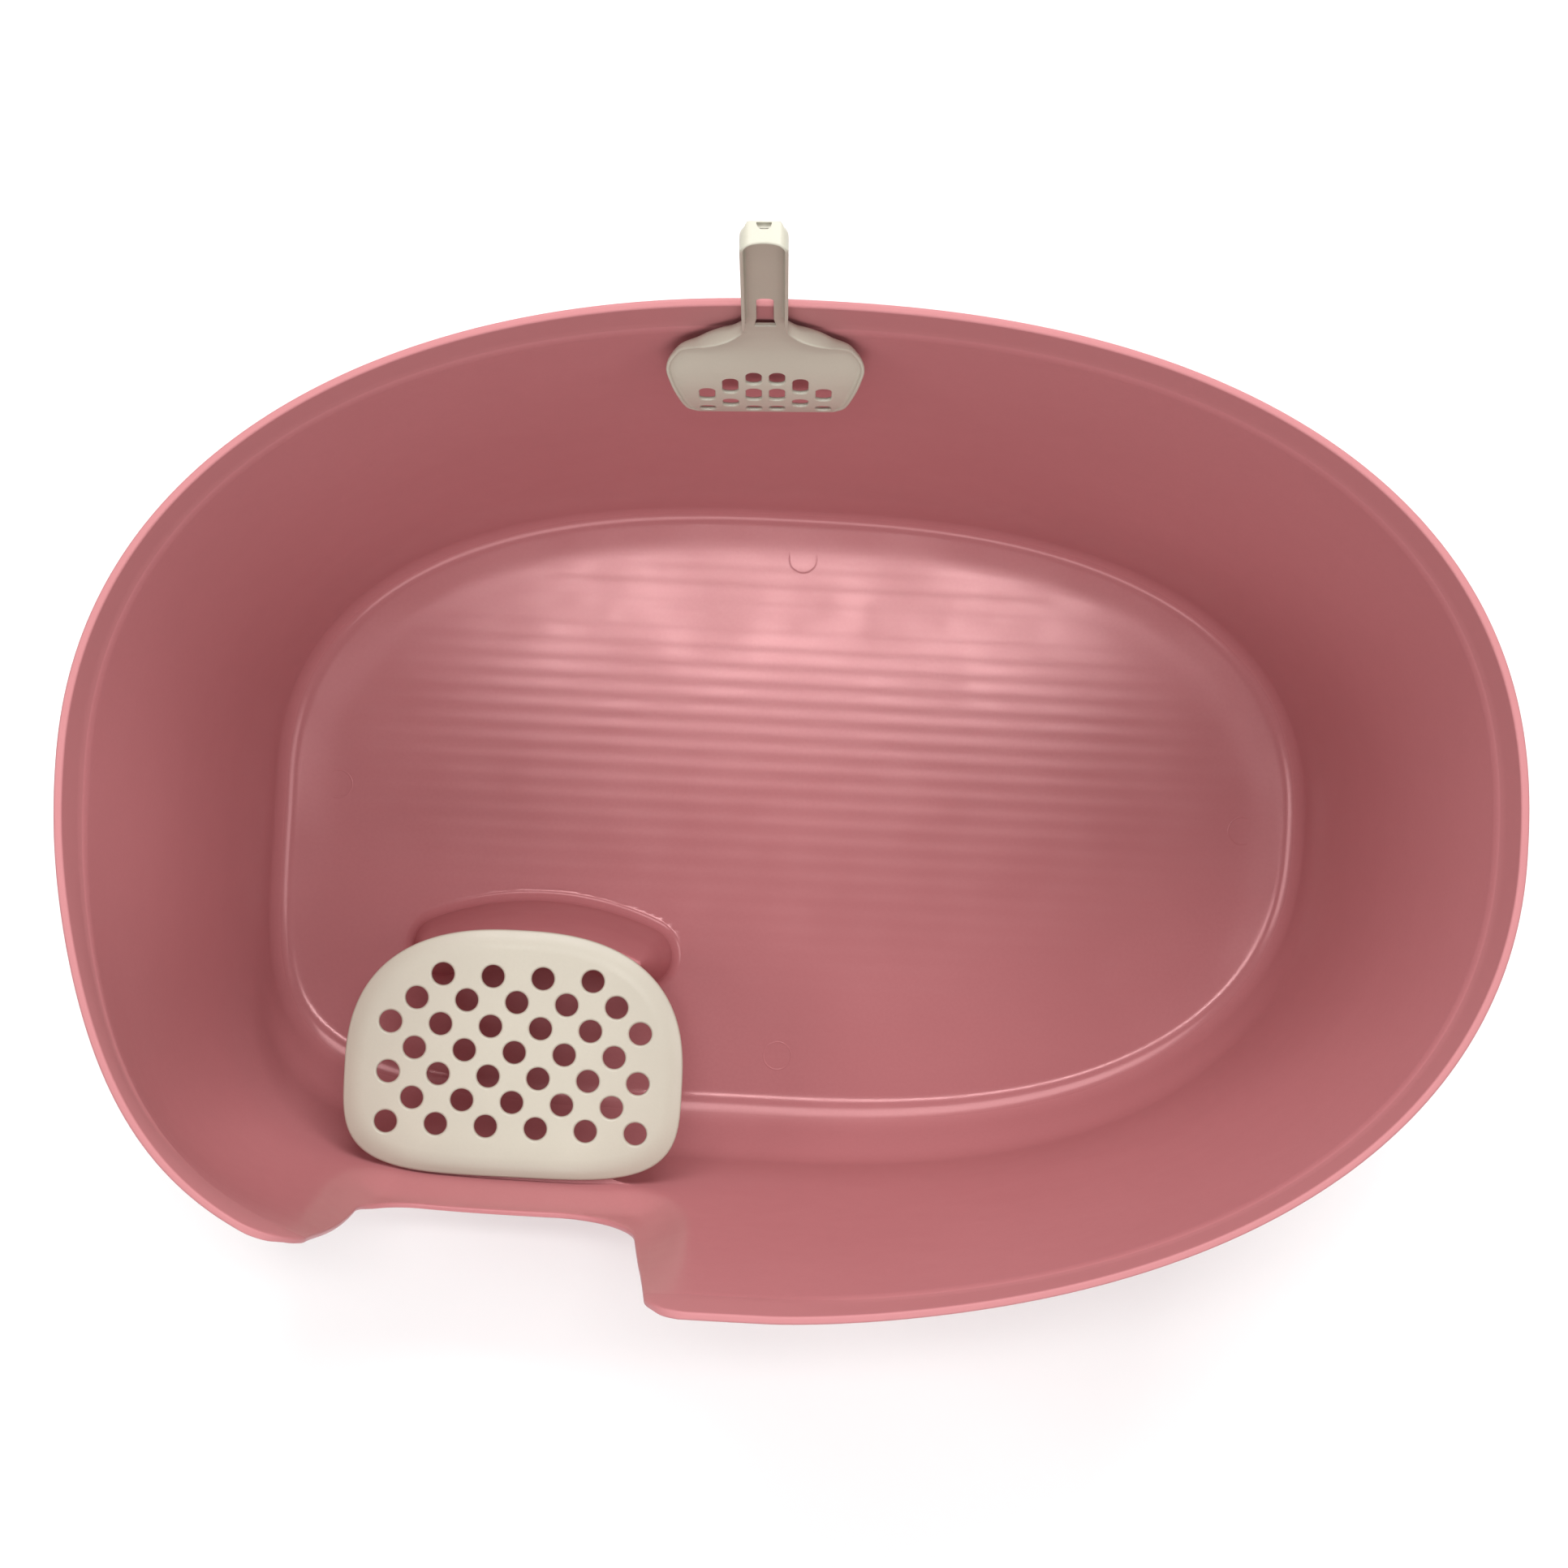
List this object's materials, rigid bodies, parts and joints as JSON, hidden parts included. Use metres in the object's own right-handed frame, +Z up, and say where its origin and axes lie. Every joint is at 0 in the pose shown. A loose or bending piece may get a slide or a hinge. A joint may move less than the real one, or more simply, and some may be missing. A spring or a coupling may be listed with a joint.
{
  "type": "high-sided litter box",
  "caption": "High-sided oval litter box with a low entry, a lift-out perforated step over a hollow saddle, a slotted scoop hooked on the rear rim, and round feet.",
  "frame": {"origin": "on the ground, under the middle of the overall footprint of tub and hanging scoop", "axes": "+X along the tub's long axis to the right as seen from the entry side, +Y to the rear, where the scoop hangs, +Z up; the entry is in the front wall, left of the middle"},
  "size_m": [0.5996, 0.4319, 0.388],
  "materials": {
    "tub_plastic": "satin moulded polypropylene, dusty pink, smooth walls with a fine grain in the rim band",
    "accent_plastic": "satin moulded polypropylene, warm beige",
    "foot_rubber": "soft grey non-slip discs"
  },
  "bodies": {
    "tub": {"tub": "tub_plastic", "foot_left": "foot_rubber", "foot_right": "foot_rubber", "foot_front": "foot_rubber", "foot_rear": "foot_rubber"},
    "step_plate": {"step_plate": "accent_plastic"},
    "scoop": {"scoop": "accent_plastic"}
  },
  "joints": [
    {"name": "step_plate_lift", "type": "slide", "parent": "tub", "child": "step_plate", "axis": [0, 0, 1], "range_m": [0, 0.3]},
    {"name": "scoop_lift", "type": "slide", "parent": "tub", "child": "scoop", "axis": [-0.0087, 0.1995, 0.9798], "range_m": [0, 0.14]}
  ]
}
